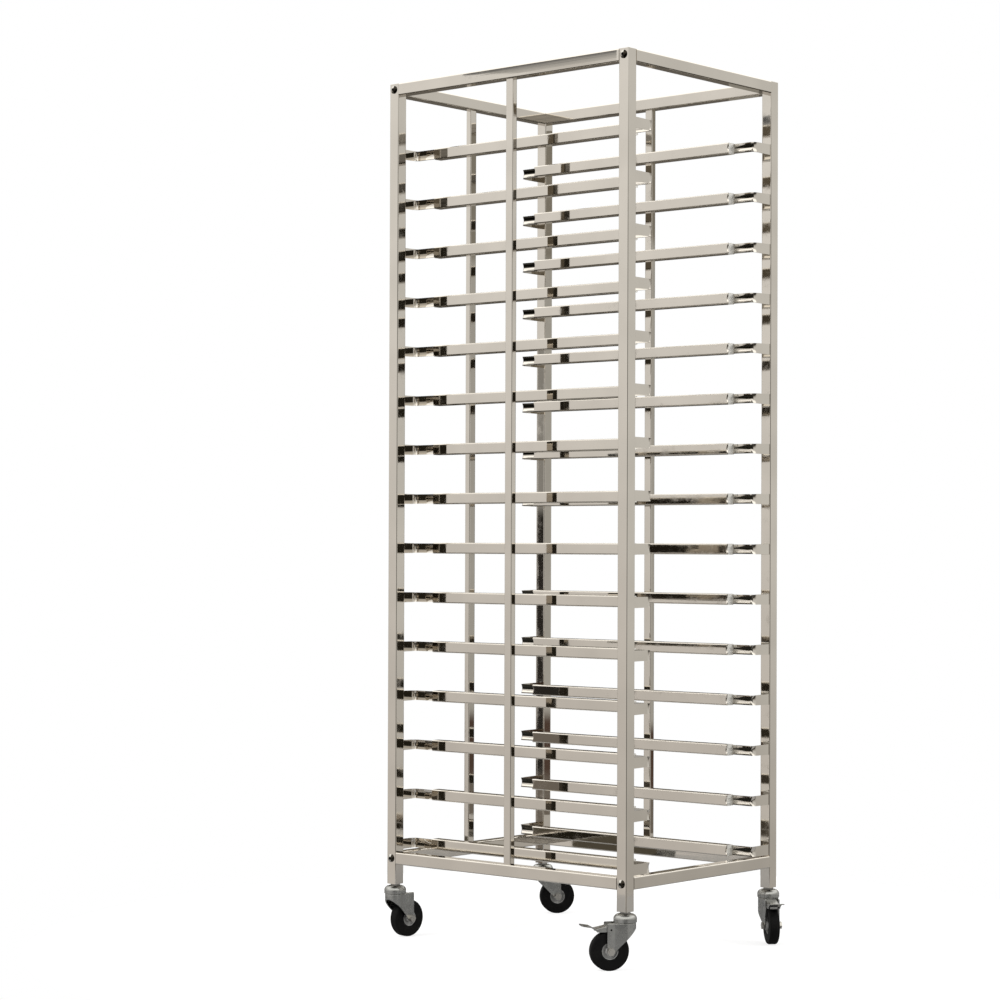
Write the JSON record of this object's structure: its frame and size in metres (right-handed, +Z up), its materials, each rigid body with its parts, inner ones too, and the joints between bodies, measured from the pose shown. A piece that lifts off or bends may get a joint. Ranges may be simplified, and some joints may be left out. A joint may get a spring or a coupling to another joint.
{
  "type": "bakery tray trolley",
  "caption": "Tall stainless tray trolley open at the front: square-tube posts, runners bent out to the posts on both sides, flat bracing tubes, swivel castors and brake pedals at the front.",
  "frame": {"origin": "on the floor, under the middle of the frame between the four posts", "axes": "+Z up the posts, +X to the trolley's right seen from its open loading side, which is -Y; the runners lie along Y"},
  "size_m": [0.5889, 0.6901, 1.723],
  "materials": {
    "frame_steel": "polished",
    "cap_steel": "polished",
    "bolt_steel": "polished",
    "stem_zinc": "zinc plated",
    "castor_zinc": "zinc plated",
    "ball_steel": "polished",
    "wheel_grey": "satin",
    "tyre_black": "matte"
  },
  "bodies": {
    "frame": {"post_back_left": "frame_steel", "post_front_left": "frame_steel", "post_front_right": "frame_steel", "post_back_right": "frame_steel", "top_rail_left": "frame_steel", "top_rail_right": "frame_steel", "top_rail_front": "frame_steel", "top_rail_back": "frame_steel", "bottom_rail_left": "frame_steel", "bottom_rail_right": "frame_steel", "bottom_rail_front": "frame_steel", "bottom_rail_back": "frame_steel", "brace_left": "frame_steel", "brace_back": "frame_steel", "brace_right": "frame_steel", "runners_level_01": "frame_steel", "runners_level_02": "frame_steel", "runners_level_03": "frame_steel", "runners_level_04": "frame_steel", "runners_level_05": "frame_steel", "runners_level_06": "frame_steel", "runners_level_07": "frame_steel", "runners_level_08": "frame_steel", "runners_level_09": "frame_steel", "runners_level_10": "frame_steel", "runners_level_11": "frame_steel", "runners_level_12": "frame_steel", "runners_level_13": "frame_steel", "runners_level_14": "frame_steel", "runners_level_15": "frame_steel", "post_caps": "cap_steel", "rail_bolts": "bolt_steel", "rail_plugs": "bolt_steel", "foot_blocks": "bolt_steel", "castor_stems": "stem_zinc", "race_cups": "castor_zinc", "race_balls": "ball_steel"},
    "castor_back_left": {"fork_back_left": "castor_zinc", "axle_bolt_back_left": "bolt_steel", "axle_nut_back_left": "bolt_steel"},
    "wheel_back_left": {"wheel_core_back_left": "wheel_grey", "tyre_back_left": "tyre_black"},
    "castor_front_left": {"fork_front_left": "castor_zinc", "axle_bolt_front_left": "bolt_steel", "axle_nut_front_left": "bolt_steel"},
    "wheel_front_left": {"wheel_core_front_left": "wheel_grey", "tyre_front_left": "tyre_black"},
    "brake_front_left": {"brake_pedal_front_left": "castor_zinc"},
    "castor_front_right": {"fork_front_right": "castor_zinc", "axle_bolt_front_right": "bolt_steel", "axle_nut_front_right": "bolt_steel"},
    "wheel_front_right": {"wheel_core_front_right": "wheel_grey", "tyre_front_right": "tyre_black"},
    "brake_front_right": {"brake_pedal_front_right": "castor_zinc"},
    "castor_back_right": {"fork_back_right": "castor_zinc", "axle_bolt_back_right": "bolt_steel", "axle_nut_back_right": "bolt_steel"},
    "wheel_back_right": {"wheel_core_back_right": "wheel_grey", "tyre_back_right": "tyre_black"}
  },
  "joints": [
    {"name": "swivel_back_left", "type": "hinge", "parent": "frame", "child": "castor_back_left", "pos_m": [-0.228, 0.298, 0.0897], "axis": [0, 0, 1], "continuous": true},
    {"name": "roll_back_left", "type": "hinge", "parent": "castor_back_left", "child": "wheel_back_left", "pos_m": [-0.19712, 0.2953, 0.037], "axis": [0.0872, 0.9962, 0], "continuous": true},
    {"name": "swivel_front_left", "type": "hinge", "parent": "frame", "child": "castor_front_left", "pos_m": [-0.228, -0.298, 0.0897], "axis": [0, 0, 1], "continuous": true},
    {"name": "roll_front_left", "type": "hinge", "parent": "castor_front_left", "child": "wheel_front_left", "pos_m": [-0.25276, -0.27934, 0.037], "axis": [-0.6018, -0.7986, 0], "continuous": true},
    {"name": "brake_front_left", "type": "hinge", "parent": "castor_front_left", "child": "brake_front_left", "pos_m": [-0.25196, -0.27995, 0.0772], "axis": [-0.6018, -0.7986, 0], "range_deg": [0, 9]},
    {"name": "swivel_front_right", "type": "hinge", "parent": "frame", "child": "castor_front_right", "pos_m": [0.228, -0.298, 0.0897], "axis": [0, 0, 1], "continuous": true},
    {"name": "roll_front_right", "type": "hinge", "parent": "castor_front_right", "child": "wheel_front_right", "pos_m": [0.20726, -0.32104, 0.037], "axis": [0.7431, -0.6691, 0], "continuous": true},
    {"name": "brake_front_right", "type": "hinge", "parent": "castor_front_right", "child": "brake_front_right", "pos_m": [0.20793, -0.32029, 0.0772], "axis": [0.7431, -0.6691, 0], "range_deg": [0, 9]},
    {"name": "swivel_back_right", "type": "hinge", "parent": "frame", "child": "castor_back_right", "pos_m": [0.228, 0.298, 0.0897], "axis": [0, 0, 1], "continuous": true},
    {"name": "roll_back_right", "type": "hinge", "parent": "castor_back_right", "child": "wheel_back_right", "pos_m": [0.25175, 0.27807, 0.037], "axis": [0.6428, 0.766, 0], "continuous": true}
  ]
}
